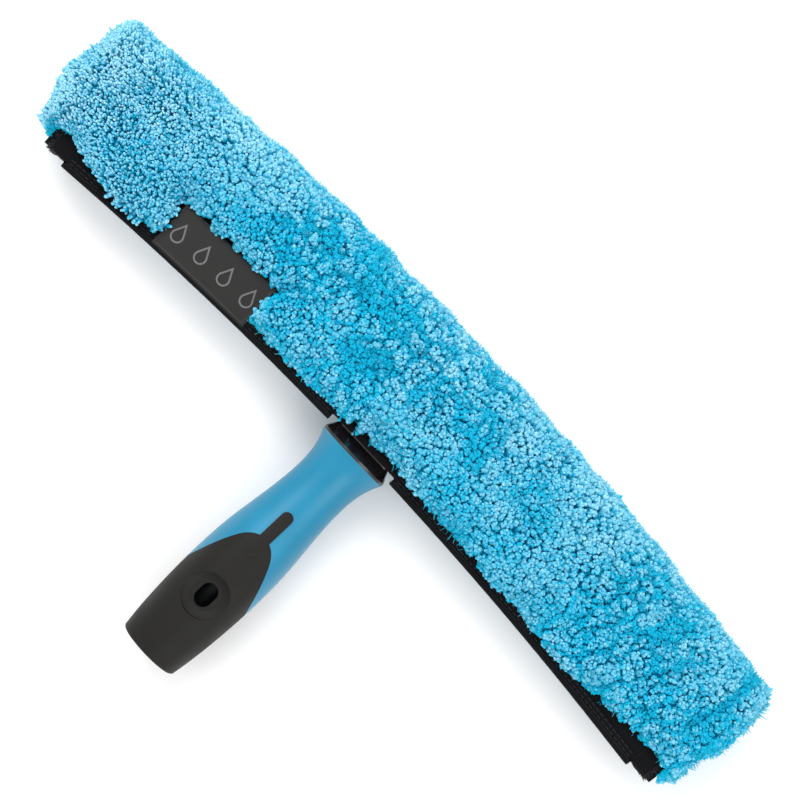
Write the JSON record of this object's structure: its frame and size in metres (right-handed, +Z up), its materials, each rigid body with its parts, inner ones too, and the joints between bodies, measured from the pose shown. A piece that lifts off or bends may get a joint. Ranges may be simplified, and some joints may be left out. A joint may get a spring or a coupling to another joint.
{
  "type": "window washer",
  "caption": "Bowed T-bar window washer in a fluffy pile sleeve with a hook-and-loop closure, on a two-colour handle that fits over a pole.",
  "frame": {"origin": "middle of the footprint, on the surface that the washer lies on", "axes": "+X along the bar, with the label at the negative end; +Y from the handle's butt to the working edge; +Z up from the surface"},
  "size_m": [0.474, 0.2257, 0.0507],
  "materials": {
    "bar_plastic": "gloss",
    "handle_plastic": "satin",
    "grip_rubber": "matte",
    "screw_steel": "satin",
    "lining_cloth": "matte",
    "pile": "matte",
    "tape": "matte",
    "hook_and_loop": "matte",
    "label": "gloss",
    "label_ink": "satin"
  },
  "bodies": {
    "washer": {"t_bar": "bar_plastic", "handle_core": "handle_plastic", "soft_grip": "grip_rubber", "neck_screw": "screw_steel", "neck_washer": "screw_steel", "sleeve_lining": "lining_cloth", "sleeve_pile": "pile", "upper_hem_tape": "tape", "lower_hem_tape": "tape", "label_patch": "label", "label_print": "label_ink", "left_end_lining": "lining_cloth", "left_end_pile": "pile", "left_inner_panel": "tape", "left_hook_strip": "hook_and_loop", "left_corner_tab": "tape", "right_end_lining": "lining_cloth", "right_end_pile": "pile", "right_inner_panel": "tape", "right_hook_strip": "hook_and_loop", "right_corner_tab": "tape"},
    "left_closure": {"left_flap": "tape", "left_loop_strip": "hook_and_loop"},
    "right_closure": {"right_flap": "tape", "right_loop_strip": "hook_and_loop"}
  },
  "joints": [
    {"name": "left_flap_hinge", "type": "hinge", "parent": "washer", "child": "left_closure", "pos_m": [-0.11281, 0.02885, 0.03788], "axis": [-0.9984, -0.0559, 0], "range_deg": [0, 130]},
    {"name": "right_flap_hinge", "type": "hinge", "parent": "washer", "child": "right_closure", "pos_m": [0.11281, 0.02885, 0.03788], "axis": [-0.9984, 0.0559, 0], "range_deg": [0, 130]}
  ]
}
